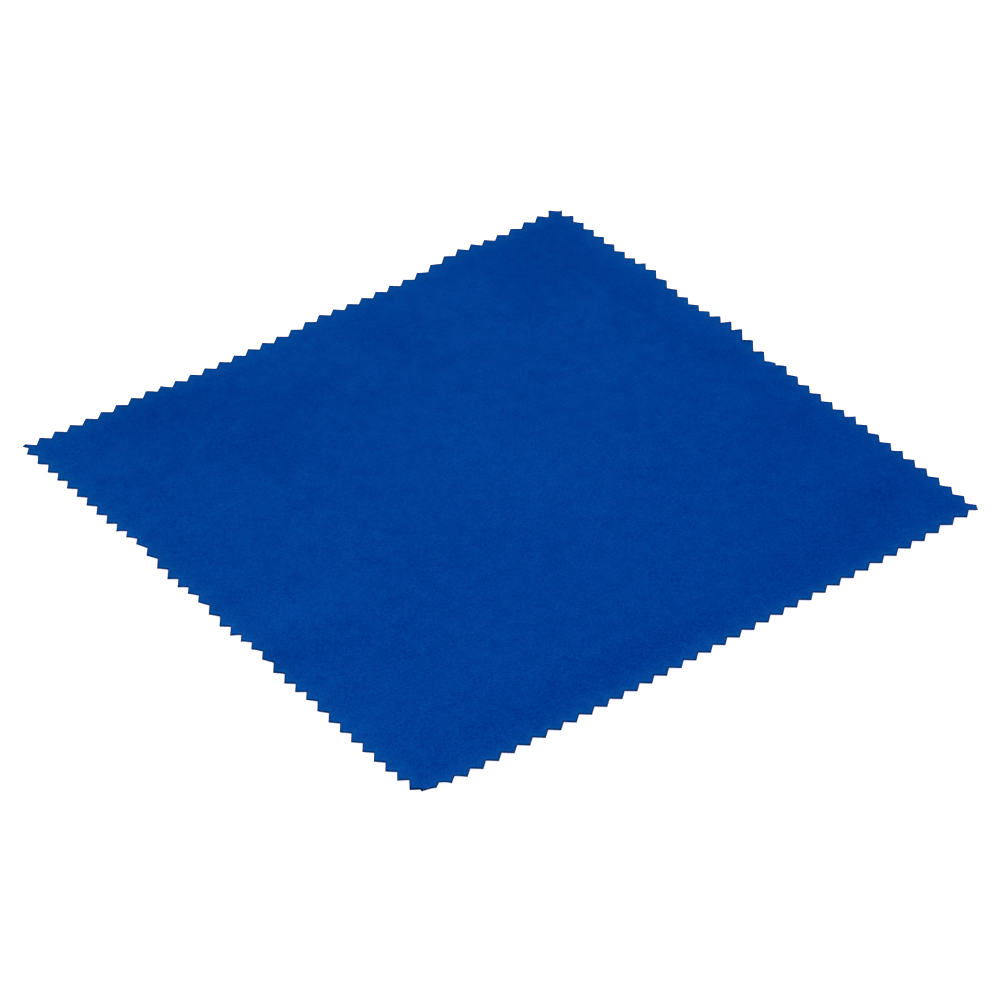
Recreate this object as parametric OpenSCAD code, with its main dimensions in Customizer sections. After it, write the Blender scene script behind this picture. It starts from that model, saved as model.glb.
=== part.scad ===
// Polishing cloth: one cut of double-faced sueded microfibre with pinked
// (zigzag) edges, lying flat. +Z up, nap faces up and down, X and Y along the
// sides. The origin is under the middle of the cloth, on the surface it rests on.
// All sizes in millimetres.

/* [Cloth] */
// Thickness of the sueded fabric
cloth_t = 0.45; // [0.3:0.05:1.2]
// Teeth along the front and the back side
teeth_x = 38; // [8:1:60]
// Teeth along the left and the right side
teeth_y = 37; // [8:1:60]

/* [Pinked edge] */
// Tooth pitch along the front and back sides, which the knit has relaxed along
pitch_x = 4.88; // [3:0.02:8]
// Tooth pitch along the left and right sides
pitch_y = 4.76; // [3:0.02:8]
// Depth of the cut from tooth tip to valley
tooth_depth = 2.12; // [0.8:0.04:2.6]
// How far the valleys on the left and right sides sit off the middle, in pitches
tooth_lean = 0.06; // [0:0.01:0.12]

/* [Corners] */
// Width beyond a whole number of pitches, as a share of one pitch
spare_x = 0.38; // [0.24:0.02:0.5]
// Length beyond a whole number of pitches, as a share of one pitch
spare_y = 0.78; // [0.64:0.02:0.9]
// Distance from the front left corner to the first tip on the front, in pitches
lead_front = 0.98; // [0.88:0.02:1.06]
// Distance from the front left corner to the first tip on the left, in pitches
lead_left = 1.06; // [0.96:0.02:1.16]
// Distance from the front right corner to the first tip on the right, in pitches
lead_right = 0.82; // [0.72:0.02:0.92]
// Distance from the back left corner to the first tip on the back, in pitches
lead_back = 0.38; // [0.3:0.02:0.46]

/* [Hidden] */

// Overall size, tip to tip
cloth_x = (teeth_x + spare_x) * pitch_x;
cloth_y = (teeth_y + spare_y) * pitch_y;

// A run of n teeth: tips on the line, valleys tooth_depth inside it and lean
// pitches off the middle. Each point is [distance along the side, distance in].
function run(n, lead, pitch, lean = 0) =
    [for (i = [0 : 2 * n - 2])
        [(lead + i / 2 + (i % 2) * lean) * pitch, (i % 2) * tooth_depth]];

function reversed(p) = [for (i = [len(p) - 1 : -1 : 0]) p[i]];

// The four sides, counter-clockwise from the front left corner. The two cuts
// that meet at the front right corner shorten the last tooth of the front, so
// the front has one tooth fewer as a full tooth.
front_side = [for (p = run(teeth_x - 1, lead_front, pitch_x)) [p[0], p[1]]];
right_side = [for (p = run(teeth_y, lead_right, pitch_y, -tooth_lean)) [cloth_x - p[1], p[0]]];
back_side = [for (p = reversed(run(teeth_x, lead_back, pitch_x))) [p[0], cloth_y - p[1]]];
left_side = [for (p = reversed(run(teeth_y, lead_left, pitch_y, tooth_lean))) [p[1], p[0]]];

// Where two cuts cross, the corner is whatever the two zigzags leave. Each
// corner is a few points in pitches from the corner, x inwards then y inwards.
function corner(points, x0, y0, sx, sy) =
    [for (p = points) [x0 + sx * p[0] * pitch_x, y0 + sy * p[1] * pitch_y]];

front_right = corner([[0.76, 0.61], [0.26, 0.44]], cloth_x, 0, -1, 1);
back_right = corner([[0.63, 0.67], [0.16, 0.08], [0.36, 0.16]], cloth_x, cloth_y, -1, -1);
back_left = corner([[0.18, 0.08], [0.39, 0.37]], 0, cloth_y, 1, -1);
front_left = corner([[0.38, 0.67], [0.30, 0.41]], 0, 0, 1, 1);

outline = concat(
    front_side, front_right,
    right_side, back_right,
    back_side, back_left,
    left_side, front_left);

module polishing_cloth() {
    color([0.01, 0.24, 0.59])
        translate([-cloth_x / 2, -cloth_y / 2, 0])
            linear_extrude(height = cloth_t)
                polygon(outline);
}

polishing_cloth();
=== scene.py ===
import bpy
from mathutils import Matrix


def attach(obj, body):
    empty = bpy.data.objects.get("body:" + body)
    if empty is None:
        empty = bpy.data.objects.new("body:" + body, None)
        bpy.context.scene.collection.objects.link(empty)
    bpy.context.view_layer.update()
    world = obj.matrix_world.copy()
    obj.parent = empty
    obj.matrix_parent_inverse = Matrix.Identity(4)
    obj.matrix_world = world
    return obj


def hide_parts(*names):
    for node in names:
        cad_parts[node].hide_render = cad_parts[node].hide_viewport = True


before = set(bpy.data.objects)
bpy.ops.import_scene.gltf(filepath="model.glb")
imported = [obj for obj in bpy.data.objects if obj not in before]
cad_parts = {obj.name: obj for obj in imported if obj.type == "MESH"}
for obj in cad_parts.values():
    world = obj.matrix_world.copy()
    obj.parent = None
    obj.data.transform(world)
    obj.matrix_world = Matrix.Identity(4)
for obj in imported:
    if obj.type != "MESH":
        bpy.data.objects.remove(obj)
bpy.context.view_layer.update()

# Polishing cloth: one cut of double-faced sueded microfibre with pinked edges,
# lying on a pale floor. The cut is the CAD outline; the cloth is laid with the
# small lifts and ridges of a cloth that has been unfolded and smoothed by hand.
import math

import bpy
import numpy as np
from mathutils import Vector
from mathutils.geometry import delaunay_2d_cdt

rng = np.random.default_rng(7)
MM = 0.001

# ---------------------------------------------------------------- the cut
# The same numbers as the CAD source, in millimetres.
THICK = 0.45
TEETH_X, TEETH_Y = 38, 37
PITCH_X, PITCH_Y = 4.88, 4.76
DEEP, LEAN = 2.12, 0.06
WIDE, LONG = (TEETH_X + 0.38) * PITCH_X, (TEETH_Y + 0.78) * PITCH_Y
LEAD = {"front": 0.98, "right": 0.82, "back": 0.38, "left": 1.06}  # first tip, in pitches


def run(n, lead, pitch, lean=0.0):
    return [((lead + i / 2 + (i % 2) * lean) * pitch, DEEP * (i % 2)) for i in range(2 * n - 1)]


def corner(points, x0, y0, sx, sy):
    return [(x0 + sx * p * PITCH_X, y0 + sy * q * PITCH_Y) for p, q in points]


outline = np.array(
    [(p, q) for p, q in run(TEETH_X - 1, LEAD["front"], PITCH_X)]
    + corner([(0.76, 0.61), (0.26, 0.44)], WIDE, 0, -1, 1)
    + [(WIDE - q, p) for p, q in run(TEETH_Y, LEAD["right"], PITCH_Y, -LEAN)]
    + corner([(0.63, 0.67), (0.16, 0.08), (0.36, 0.16)], WIDE, LONG, -1, -1)
    + [(p, LONG - q) for p, q in reversed(run(TEETH_X, LEAD["back"], PITCH_X))]
    + corner([(0.18, 0.08), (0.39, 0.37)], 0, LONG, 1, -1)
    + [(q, p) for p, q in reversed(run(TEETH_Y, LEAD["left"], PITCH_Y, LEAN))]
    + corner([(0.38, 0.67), (0.30, 0.41)], 0, 0, 1, 1)
)


# ---------------------------------------------------------------- how it lies
# Each lift is (where along the side, height, half width, how far it runs in,
# lean), in millimetres: a low ridge that starts at the edge and dies away.
LIFTS = {
    "left": [
        (16, 0.3, 9, 16, 0.0),
        (47.5, 1.0, 5.2, 34, 0.10),
        (71, 0.9, 7.2, 52, 0.06),
        (71, 1.45, 6.0, 2.6, 0.0),
        (97, 0.7, 7.8, 46, -0.04),
        (97, 1.1, 6.4, 2.6, 0.0),
        (125, 1.2, 9.6, 58, -0.08),
        (123.5, 1.6, 7.2, 2.6, 0.0),
        (149, 0.7, 13, 40, 0.0),
        (84, -0.3, 5, 10, 0.0),
        (33, 0.2, 20, 20, 0.0),
        (71.7, -0.55, 1.9, 1.3, 0.0),
    ],
    "front": [
        (182, 1.15, 12, 15, 0.0),
        (150, 0.12, 12, 14, 0.05),
        (22, 0.5, 18, 15, 0.1),
        (2, 2.5, 7, 3.2, 0.2),
        (12, -0.45, 7.5, 16, 0.0),
        (12, 0.55, 7, 2.0, 0.0),
    ],
    "right": [
        (139, 1.6, 6.8, 22, -0.2),
        (101.5, 1.5, 9.0, 26, 0.12),
        (101, 1.25, 8.0, 2.6, 0.0),
        (79.5, 0.9, 3.6, 7, 0.0),
        (47, 0.75, 8.5, 24, 0.2),
        (26, 0.55, 12, 22, 0.0),
        (101, 0.2, 30, 20, 0.0),
        (110, 0.3, 4.5, 12, 0.0),
        (92, -0.9, 3.4, 8, 0.0),
        (92, 0.9, 3.4, 1.2, 0.0),
        (82, 0.6, 1.9, 9, 0.0),
        (87.3, -0.4, 2.2, 8, 0.0),
        (87.3, 0.4, 2.2, 1.2, 0.0),
        (51.5, 0.3, 1.9, 1.3, 0.0),
        (42, -0.25, 1.9, 1.3, 0.0),
        (32.5, 0.25, 1.9, 1.3, 0.0),
    ],
    "back": [
        (2, 0.7, 7, 6, 0.0),
        (16, 0.5, 12, 16, 0.0),
        (37, 0.75, 8, 16, 0.0),
        (43, 0.45, 2.8, 12, 0.0),
        (99, 0.65, 7, 18, 0.3),
        (148, 2.1, 10.5, 24, -0.15),
        (177, 1.2, 13, 14, 0.0),
        (160, 0.17, 9, 14, 0.0),
    ],
}
# How high the whole side stands off the table, and how far that runs in
REST = {"left": (0.12, 10), "front": (0.68, 16), "right": (0.05, 10), "back": (0.0, 10)}


# The knit gives a little, so the cut sides aren't dead straight: (x, y, reach
# along x, reach along y, move in x, move in y), in millimetres.
GIVE = [
    (125, 0, 24, 22, -0.17, 0.13),
    (62, 0, 20, 22, 0.16, -0.12),
    (WIDE, 158, 16, 18, 0.10, -0.08),
    (WIDE, 86, 20, 24, -0.18, 0.14),
    (WIDE - 1, 85.5, 3.2, 3.2, -0.40, -0.60),
    (WIDE, 2, 10, 15, 0.44, -0.34),
    (0, 155, 18, 18, 0.13, -0.10),
    (0, 3, 6, 6, 0.26, -0.20),
    (0, LONG - 8, 6, 9, -0.03, -0.45),
    (8, LONG, 16, 8, -0.40, 0.31),
    (WIDE, LONG - 6, 8, 8, -0.20, -0.50),
    (125, LONG, 22, 18, 0.22, -0.16),
    (66, LONG, 24, 16, -0.34, -0.42),
    (141, 0, 11, 14, -0.20, 0.0),
    (0, 121, 22, 16, 0.04, -0.19),
    (182.4, LONG, 1.7, 1.9, -0.05, 0.80),
    (68, LONG, 8, 12, 0.15, -0.06),
    (150, LONG, 10, 12, 0.07, -0.15),
    (WIDE, 85.0, 1.2, 1.2, -0.60, -0.10),
    (87, LONG, 9, 12, -0.09, -0.30),
    (133, LONG, 7, 12, -0.13, -0.25),
]


def give(x, y):
    dx, dy = np.zeros(x.shape), np.zeros(x.shape)
    for x0, y0, rx, ry, mx, my in GIVE:
        g = np.exp(-(((x - x0) / rx) ** 2) - ((y - y0) / ry) ** 2)
        dx += mx * g
        dy += my * g
    return dx, dy


def wave(x, y, length, angle, phase):
    a = math.radians(angle)
    return np.sin(
        2 * math.pi * (x * math.cos(a) + y * math.sin(a)) / length + phase
    )


def crease(x, y, pts, width):
    """1 on a thin curved line through pts, fading over width."""
    best = np.full(x.shape, 1e9)
    for (ax, ay), (bx, by) in zip(pts, pts[1:]):
        ux, uy = bx - ax, by - ay
        t = np.clip(((x - ax) * ux + (y - ay) * uy) / (ux * ux + uy * uy), 0, 1)
        best = np.minimum(best, (x - ax - t * ux) ** 2 + (y - ay - t * uy) ** 2)
    return np.exp(-best / width**2)


def height(x, y):
    """Underside of the cloth above the floor, in millimetres."""
    z = np.zeros(x.shape)
    for side, lifts in LIFTS.items():
        s, d = {
            "left": (y, x),
            "right": (y, WIDE - x),
            "front": (x, y),
            "back": (x, LONG - y),
        }[side]
        d = np.maximum(d, 0)
        # the right side is down on the table at both of its corners
        hold = 1.0 if side in ("left", "right") else 1 - np.exp(-((np.maximum(WIDE - x, 0) / 4.2) ** 2))
        base, reach = REST[side]
        z += hold * base * np.exp(-((d / reach) ** 1.3))
        for at, up, half, reach, lean in lifts:
            w = half * (1 + 0.9 * d / reach)
            z += (
                hold
                * up
                * np.exp(-((d / reach) ** 1.25))
                * np.exp(-(((s - at - lean * d) / w) ** 2))
            )
    # the near corner is domed behind its raised tip
    z += 0.9 * np.exp(-(((x - 3.5) ** 2 + (y - 8) ** 2) / 16))
    # slow waves of a hand-smoothed cloth, strongest away from the middle
    slow = (
        0.20 * (1 + wave(x, y, 96, 62, 0.4))
        + 0.12 * (1 + wave(x, y, 61, 118, 2.1))
        + 0.07 * (1 + wave(x, y, 37, 84, 4.0))
        + 0.04 * (1 + wave(x, y, 24, 20, 1.2))
    )
    near = np.minimum(np.minimum(x, WIDE - x), np.minimum(y, LONG - y))
    z += 0.6 * slow * (1 - np.exp(-((np.maximum(near, 0) / 16) ** 2)))
    # small set creases
    z += 0.20 * crease(x, y, [(137, 172), (141, 167), (145, 162), (147, 157)], 1.6)
    z += 0.10 * crease(x, y, [(59, 55), (64, 60), (71, 64)], 1.8)
    z += 0.10 * crease(x, y, [(66, 52), (71, 58)], 1.6)
    z += 0.10 * crease(x, y, [(74, 104), (80, 113), (89, 127)], 2.2)
    return np.maximum(z, 0) + 0.02


# Painted light and shade: paler and darker patches and streaks on the top face,
# (x, y, reach along, reach across, turn in degrees, paler or darker), in millimetres.
PAINTED_PATCHES = [
    (42, 167, 22, 11, -10, -3.6),
    (71, 152, 17, 6, 14, -2.2),
    (52, 139, 11, 12, 0, -2.2),
    (24, 148, 26, 4, -8, -1.5),
    (16, 80, 26, 8, -14, 3.4),
    (2, 64, 6, 4, 0, -3.5),
    (8, 99, 13, 4, 0, 1.4),
    (106, 90, 24, 22, 0, 2.0),
    (94, 106, 12, 7, 40, 1.2),
    (171, 62, 15, 10, 0, -2.8),
    (166, 20, 25, 8, 12, -3.2),
    (132, 14, 12, 8, 10, -1.6),
    (72, 11, 36, 5, 0, -1.9),
    (163, 160, 17, 12, 60, -2.4),
    (174, 112, 5, 56, 0, -1.6),
    (44, 40, 42, 25, 0, 1.3),
    (139, 159, 9, 5, -50, 1.4),
    (147, 109, 9, 6, 0, 1.5),
    (38, 118, 14, 7, -12, 1.2),
    (4, 34, 18, 30, 0, 2.4),
    (90, 3, 62, 4, 0, 1.4),
    (183, 6, 9, 6, 0, -2.6),
    (184, 42, 6, 13, 0, -1.8),
    (24, 138, 10, 4, 0, -2.0),
    (110, 160, 9, 18, 0, -2.0),
    (88, 139, 10, 7, 0, -1.4),
    (42, 114, 20, 4, 0, -1.2),
    (181, 86, 8, 14, 0, -1.3),
    (138, 34, 8, 9, 0, -0.9),
    (183, 176, 6, 6, 0, -2.4),
    # painted shadow on the rim under the raised near corner
    (1.0, 4.3, 1.6, 0.5, -45, -8.0),
    (3.1, 1.1, 2.2, 0.5, -30, -8.0),
]


def painted_light_shade(x, y):
    """Painted light and shade on the top face, from about -1 to 1."""
    v = np.zeros(x.shape)
    for x0, y0, along, across, turn, much in PAINTED_PATCHES:
        a = math.radians(turn)
        u = (x - x0) * math.cos(a) + (y - y0) * math.sin(a)
        w = (y - y0) * math.cos(a) - (x - x0) * math.sin(a)
        v += much * np.exp(-((u / along) ** 2) - (w / across) ** 2)
    return v / 8


# ---------------------------------------------------------------- the mesh
def subdivide(poly, step):
    out = []
    for a, b in zip(poly, np.roll(poly, -1, 0)):
        n = max(1, int(round(np.hypot(*(b - a)) / step)))
        for i in range(n):
            out.append(a + (b - a) * i / n)
    return np.array(out)


def inset(poly, d):
    """poly moved inwards by d, with mitred points held to a short reach."""
    e = np.roll(poly, -1, 0) - poly
    e /= np.hypot(e[:, 0], e[:, 1])[:, None]
    n = np.stack([-e[:, 1], e[:, 0]], 1)
    before_n = np.roll(n, 1, 0)
    m = n + before_n
    m /= np.hypot(m[:, 0], m[:, 1])[:, None]
    return poly + m * (np.asarray(d) / np.maximum((m * n).sum(1), 0.6))[:, None]


def edge_distance(p, poly):
    best = np.full(len(p), 1e9)
    for a, b in zip(poly, np.roll(poly, -1, 0)):
        u = b - a
        near = np.where(
            np.abs(p - (a + b) / 2).max(1) < 12 + np.abs(u).max()
        )[0]
        q = p[near] - a
        t = np.clip(q @ u / (u @ u), 0, 1)
        best[near] = np.minimum(best[near], ((q - t[:, None] * u) ** 2).sum(1))
    return np.sqrt(best)


def inside(p, poly):
    x, y = p[:, 0], p[:, 1]
    hit = np.zeros(len(p), bool)
    for (ax, ay), (bx, by) in zip(poly, np.roll(poly, -1, 0)):
        if ay != by:
            cross = (ay > y) != (by > y)
            hit ^= cross & (x < (bx - ax) * (y - ay) / (by - ay) + ax)
    return hit


def hexes(step):
    rows = np.arange(0, LONG, step * math.sqrt(3) / 2)
    p = [
        (x + (step / 2) * (j % 2), y)
        for j, y in enumerate(rows)
        for x in np.arange(0, WIDE, step)
    ]
    p = np.array(p)
    return p + rng.uniform(-0.12, 0.12, p.shape) * step


RIM = 0.16  # how far in the cut edge is rounded
edge = subdivide(outline, 0.48)
nib = np.hypot(edge[:, 0] - (WIDE - 0.9), edge[:, 1] - (LONG - 0.5))  # the sliver at the back right corner
ring = inset(edge, RIM * np.where(nib < 1.6, 0.5, 1.0))

coarse = hexes(1.15)
coarse = coarse[inside(coarse, outline)]
d = edge_distance(coarse, outline)
coarse = coarse[d > 2.7]
fine = hexes(0.62)
margin = (
    (fine[:, 0] < 6) | (fine[:, 0] > WIDE - 6) | (fine[:, 1] < 6) | (fine[:, 1] > LONG - 6)
)
fine = fine[margin]
fine = fine[inside(fine, outline)]
d = edge_distance(fine, outline)
fine = fine[(d > 0.5) & (d <= 2.7)]
points = np.concatenate([ring, fine, coarse])
n_ring = len(ring)
flat, _, tris, *_ = delaunay_2d_cdt(
    [Vector(p) for p in points],
    [(i, (i + 1) % n_ring) for i in range(n_ring)],
    [],
    1,
    1e-5,
)
assert len(flat) == len(points), (len(flat), len(points))
flat = points
tris = np.array([list(t) for t in tris])
a, b, c = flat[tris[:, 0]], flat[tris[:, 1]], flat[tris[:, 2]]
turn = (b - a)[:, 0] * (c - a)[:, 1] - (b - a)[:, 1] * (c - a)[:, 0]
tris[turn < 0] = tris[turn < 0][:, ::-1]

n = len(flat)
lie = height(flat[:, 0], flat[:, 1])
lie_edge = height(edge[:, 0], edge[:, 1])
# sections of the cut edge, from the top face round to the underside
shoulder = edge + (ring - edge) * 0.28
sections = [
    (shoulder, lie_edge + THICK * 0.93),
    (edge, lie_edge + THICK * 0.70),
    (edge, lie_edge + THICK * 0.28),
    (shoulder, lie_edge + THICK * 0.06),
]
verts = [np.column_stack([flat, lie + THICK])]
verts += [np.column_stack([p, z]) for p, z in sections]
verts += [np.column_stack([flat, lie])]
verts = np.concatenate(verts)
starts = [0] + [n + i * n_ring for i in range(4)] + [n + 4 * n_ring]
faces = [tuple(int(v) for v in t) for t in tris]
faces += [tuple(int(v) + starts[-1] for v in t[::-1]) for t in tris]
for top, low in zip(starts, starts[1:]):
    for i in range(n_ring):
        j = (i + 1) % n_ring
        faces.append((top + i, low + i, low + j, top + j))

# centre on the row frame and turn to metres
dx, dy = give(verts[:, 0], verts[:, 1])
verts[:, 0] += dx
verts[:, 1] += dy
verts[:, 0] -= WIDE / 2
verts[:, 1] -= LONG / 2
verts *= MM

me = bpy.data.meshes.new("polishing_cloth_suede")
me.from_pydata([tuple(v) for v in verts.tolist()], [], faces)
me.validate()
me.update()
me.polygons.foreach_set("use_smooth", np.ones(len(me.polygons), bool))

dist = edge_distance(flat, outline)
from_edge = np.concatenate(
    [dist, np.full(n_ring, RIM * 0.28), np.zeros(2 * n_ring), np.full(n_ring, RIM * 0.28), dist]
)
at = me.attributes.new("from_edge", "FLOAT", "POINT")
at.data.foreach_set("value", from_edge.astype(np.float32))
wall = np.concatenate([np.zeros(n), [0.75] * n_ring, np.ones(2 * n_ring), [0.75] * n_ring, np.zeros(n)])
at = me.attributes.new("cut_wall", "FLOAT", "POINT")
at.data.foreach_set("value", wall.astype(np.float32))

# Painted shade and light along the cut: the top face is painted darker along the sides of the cut that face away from
# the near corner, and paler along the sides that face it.
to_near_corner = np.array([-0.61, -0.79])
facing = edge_distance(flat + 0.1 * to_near_corner, outline) - edge_distance(flat - 0.1 * to_near_corner, outline)
facing = np.clip(facing / 0.2, -1, 1) * np.exp(-((dist / 0.75) ** 2))
# lean holds the painted patches together with this painted edge shade
lean = painted_light_shade(flat[:, 0], flat[:, 1]) - np.where(facing > 0, 2.2, 0.7) * facing
painted_patches_edge = painted_light_shade(edge[:, 0], edge[:, 1])
at = me.attributes.new("painted_light_shade", "FLOAT", "POINT")
at.data.foreach_set("value", np.concatenate([lean, *[painted_patches_edge] * 4, -lean]).astype(np.float32))

# the nap is more ruffled towards the near corner
ruffle = 1.52 + 0.0040 * (verts[:, :2] / MM + [WIDE / 2, LONG / 2]) @ to_near_corner
at = me.attributes.new("ruffle", "FLOAT", "POINT")
at.data.foreach_set("value", ruffle.astype(np.float32))

# painted shadow: the rim under the raised near corner is painted almost black
rim = np.maximum(wall, np.clip(1.4 - 2.4 * from_edge, 0, 1))
corner_shadow = 0.8 * rim * np.exp(-(((verts[:, :2] / MM + [WIDE / 2 - 1, LONG / 2 - 1]) ** 2).sum(1)) / 24)
at = me.attributes.new("painted_corner_shadow", "FLOAT", "POINT")
at.data.foreach_set("value", corner_shadow.astype(np.float32))

# painted shade: the colour is painted a touch greener towards the back and bluer towards the front
painted_shade_gradient = np.clip((verts[:, 1] / MM + LONG / 2 - 60) / 120, 0, 1)
at = me.attributes.new("painted_shade_gradient", "FLOAT", "POINT")
at.data.foreach_set("value", painted_shade_gradient.astype(np.float32))

cloth = bpy.data.objects.new("suede_cloth", me)
bpy.context.scene.collection.objects.link(cloth)


# ---------------------------------------------------------------- the suede
def suede():
    mat = bpy.data.materials.new("microfibre_suede")
    mat.use_nodes = True
    nt = mat.node_tree
    for node in list(nt.nodes):
        nt.nodes.remove(node)
    new, link = nt.nodes.new, nt.links.new
    out = new("ShaderNodeOutputMaterial")
    sh = new("ShaderNodeBsdfPrincipled")
    link(sh.outputs["BSDF"], out.inputs["Surface"])
    where = new("ShaderNodeTexCoord").outputs["Object"]

    def noise(scale, detail, rough=0.5, distortion=0.0):
        t = new("ShaderNodeTexNoise")
        t.inputs["Scale"].default_value = scale
        t.inputs["Detail"].default_value = detail
        t.inputs["Roughness"].default_value = rough
        t.inputs["Distortion"].default_value = distortion
        link(where, t.inputs["Vector"])
        return t.outputs["Fac"]

    def math_(op, a, b=None, c=None, clamp=False):
        m = new("ShaderNodeMath")
        m.operation, m.use_clamp = op, clamp
        for i, v in enumerate((a, b, c)):
            if isinstance(v, (int, float)):
                m.inputs[i].default_value = v
            elif v is not None:
                link(v, m.inputs[i])
        return m.outputs[0]

    def ramp(fac, stops, mode="LINEAR"):
        r = new("ShaderNodeValToRGB")
        r.color_ramp.interpolation = mode
        el = r.color_ramp.elements
        while len(el) < len(stops):
            el.new(0.5)
        for e, (pos, col) in zip(el, stops):
            e.position, e.color = pos, (*col, 1)
        link(fac, r.inputs["Fac"])
        return r.outputs["Color"]

    def mix(fac, a, b, kind="MIX"):
        m = new("ShaderNodeMix")
        m.data_type, m.blend_type = "RGBA", kind
        for i, v in ((0, fac), (6, a), (7, b)):
            if isinstance(v, tuple):
                m.inputs[i].default_value = (*v, 1)
            elif isinstance(v, (int, float)):
                m.inputs[i].default_value = v
            else:
                link(v, m.inputs[i])
        return m.outputs[2]

    def attribute(name):
        t = new("ShaderNodeAttribute")
        t.attribute_name = name
        return t.outputs["Fac"]

    nap = noise(2600, 2.0, 0.6)  # single fibres and their tips
    tufts = noise(1150, 2.0, 0.6)  # bundles of fibres
    mottle = noise(230, 3.0, 0.55)  # patches where the nap leans together
    brushed = noise(17, 2.0, 0.5, 0.6)  # the last stroke of the hand
    # painted glints: sparse bright specks painted where fibres catch the light
    painted_glints = math_("MULTIPLY_ADD", noise(1500, 1.0), 7.0, -4.83, clamp=True)  # fibres that catch the light

    # single fibres that stand up or lie over show more than the rest
    stray = math_("SUBTRACT", nap, 0.5)
    stray = math_("MULTIPLY", math_("MULTIPLY", stray, stray), stray)
    grain = math_("MULTIPLY_ADD", nap, 0.70, -0.35 - 0.25)
    grain = math_("MULTIPLY_ADD", stray, 20.0, grain)
    grain = math_("MULTIPLY_ADD", painted_glints, 0.30, grain)
    grain = math_("MULTIPLY_ADD", tufts, 0.50, grain)
    tone = math_("MULTIPLY_ADD", grain, attribute("ruffle"), 0.23)
    tone = math_("MULTIPLY_ADD", mottle, 0.36, tone)
    tone = math_("MULTIPLY_ADD", brushed, 0.16, tone)
    # painted light and shade: the patches, plus darker far edges and paler near edges
    tone = math_("MULTIPLY_ADD", attribute("painted_light_shade"), 0.34, tone)
    colour = ramp(
        tone,
        [
            (0.10, (0.0002, 0.0232, 0.225)),
            (0.48, (0.0003, 0.0454, 0.299)),
            (0.90, (0.0012, 0.0750, 0.384)),
        ],
    )
    # painted shade: greener towards the back, bluer towards the front
    painted_tint = mix(attribute("painted_shade_gradient"), (1.0, 0.984, 1.007), (1.0, 1.064, 0.972))
    colour = mix(1.0, colour, painted_tint, "MULTIPLY")
    # the cut line: paler and greener over the last two millimetres
    band = ramp(
        math_("DIVIDE", attribute("from_edge"), 6.0, clamp=True),
        [(0.0, (1, 1, 1)), (0.17, (1, 1, 1)), (0.33, (0.45, 0.45, 0.45)), (0.60, (0.13, 0.13, 0.13)), (1.0, (0, 0, 0))],
    )
    # paler by a fixed step, so that the grain still shows through
    colour = mix(band, colour, (0.0012, 0.0175, 0.012), "ADD")
    # the cut wall, and the top face within a few tenths of a millimetre of it, are coloured dark navy
    cut = math_("MULTIPLY_ADD", attribute("from_edge"), -3.2, 1.35, clamp=True)
    cut = math_("MAXIMUM", cut, attribute("cut_wall"))
    colour = mix(math_("MULTIPLY", cut, 0.86), colour, (0.0026, 0.018, 0.089))
    # painted shadow on the rim under the raised near corner
    colour = mix(attribute("painted_corner_shadow"), colour, (0.0002, 0.0006, 0.008))
    link(colour, sh.inputs["Base Color"])

    rough = math_("MULTIPLY_ADD", mottle, 0.18, 0.80, clamp=True)
    link(rough, sh.inputs["Roughness"])
    sh.inputs["Specular IOR Level"].default_value = 0.0
    sh.inputs["Sheen Weight"].default_value = 0.10
    sh.inputs["Sheen Roughness"].default_value = 0.45
    sh.inputs["Sheen Tint"].default_value = (0.01, 0.30, 1.0, 1)

    relief = math_("MULTIPLY_ADD", tufts, 0.8, nap)
    relief = math_("MULTIPLY_ADD", mottle, 1.6, relief)
    bump = new("ShaderNodeBump")
    bump.inputs["Strength"].default_value = 0.55
    bump.inputs["Distance"].default_value = 0.00008
    link(relief, bump.inputs["Height"])
    link(bump.outputs["Normal"], sh.inputs["Normal"])
    return mat


me.materials.append(suede())

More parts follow.
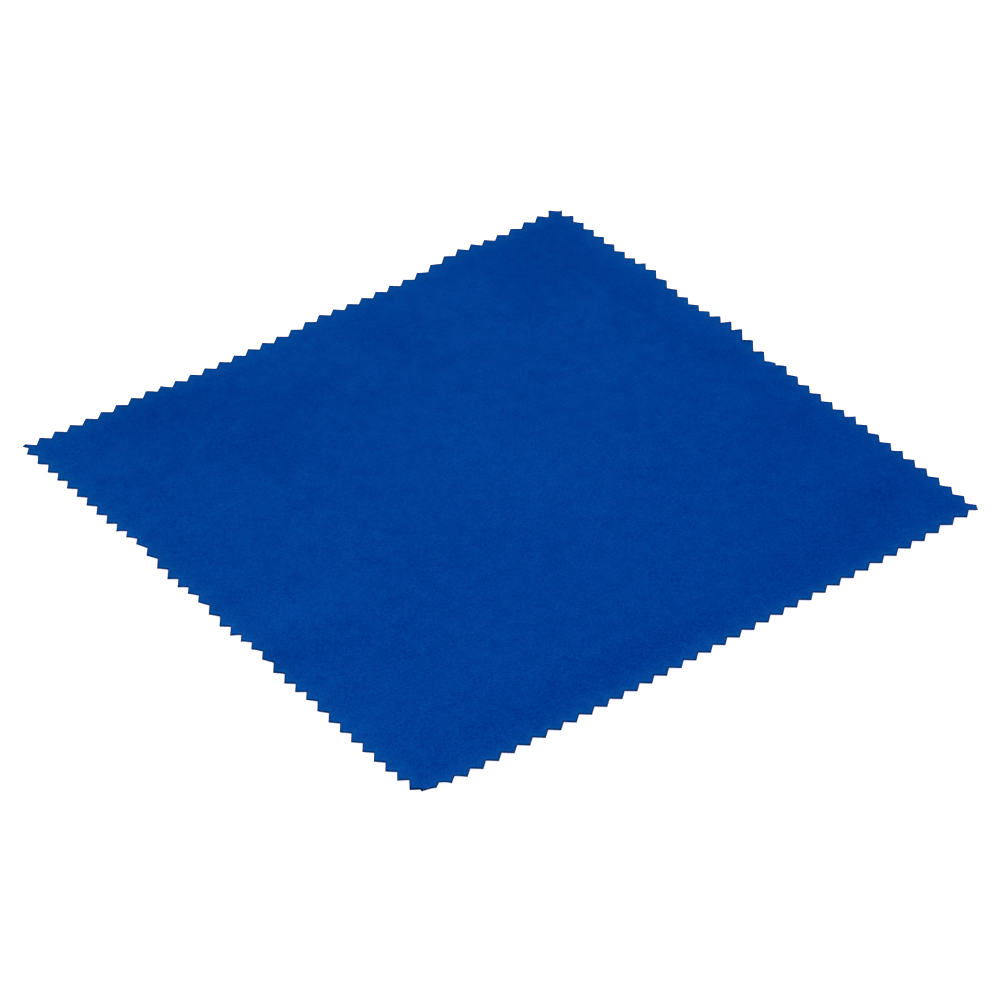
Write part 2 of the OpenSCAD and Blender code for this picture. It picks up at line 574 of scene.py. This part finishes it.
# ---------------------------------------------------------------- floor and light
floor_me = bpy.data.meshes.new("floor")
R = 4.0
floor_me.from_pydata([(-R, -R, 0), (R, -R, 0), (R, R, 0), (-R, R, 0)], [], [(0, 1, 2, 3)])
floor = bpy.data.objects.new("floor", floor_me)
bpy.context.scene.collection.objects.link(floor)
fm = bpy.data.materials.new("pale_floor")
fm.use_nodes = True
fb = fm.node_tree.nodes["Principled BSDF"]
fb.inputs["Base Color"].default_value = (0.95, 0.95, 0.95, 1)
fb.inputs["Roughness"].default_value = 0.9
fb.inputs["Specular IOR Level"].default_value = 0.1
fb.inputs["Emission Color"].default_value = (1, 1, 1, 1)
fb.inputs["Emission Strength"].default_value = 0.8
floor_me.materials.append(fm)

world = bpy.data.worlds.new("studio")
bpy.context.scene.world = world
world.use_nodes = True
bg = world.node_tree.nodes["Background"]
bg.inputs["Color"].default_value = (1, 1, 1, 1)
bg.inputs["Strength"].default_value = 0.84


def area(name, place, aim, size, watts, colour=(1, 1, 1)):
    li = bpy.data.lights.new(name, "AREA")
    li.shape, li.size, li.energy, li.color = "SQUARE", size, watts, colour
    ob = bpy.data.objects.new(name, li)
    ob.location = place
    ob.rotation_euler = (Vector(aim) - Vector(place)).to_track_quat("-Z", "Y").to_euler()
    bpy.context.scene.collection.objects.link(ob)
    return ob


area("key", (-0.25, 0.95, 1.15), (0, 0, 0), 0.7, 5.2)

cam = bpy.data.cameras.new("camera")
cam.sensor_width = 36
cam.lens = 155.3
cam.clip_start, cam.clip_end = 0.05, 30
eye = bpy.data.objects.new("camera", cam)
bpy.context.scene.collection.objects.link(eye)
el, az = math.radians(38.43), math.radians(52.20)
ahead = Vector((math.cos(el) * math.cos(az), math.cos(el) * math.sin(az), -math.sin(el)))
eye.location = Vector((-4.50, -6.65, 0)) * MM - ahead * 1.1491
eye.rotation_euler = ahead.to_track_quat("-Z", "Y").to_euler()
bpy.context.scene.camera = eye
bpy.context.scene.view_settings.view_transform = "Standard"

# ---------------------------------------------------------------- the frame
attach(cloth, "root")
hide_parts("polishing_cloth")
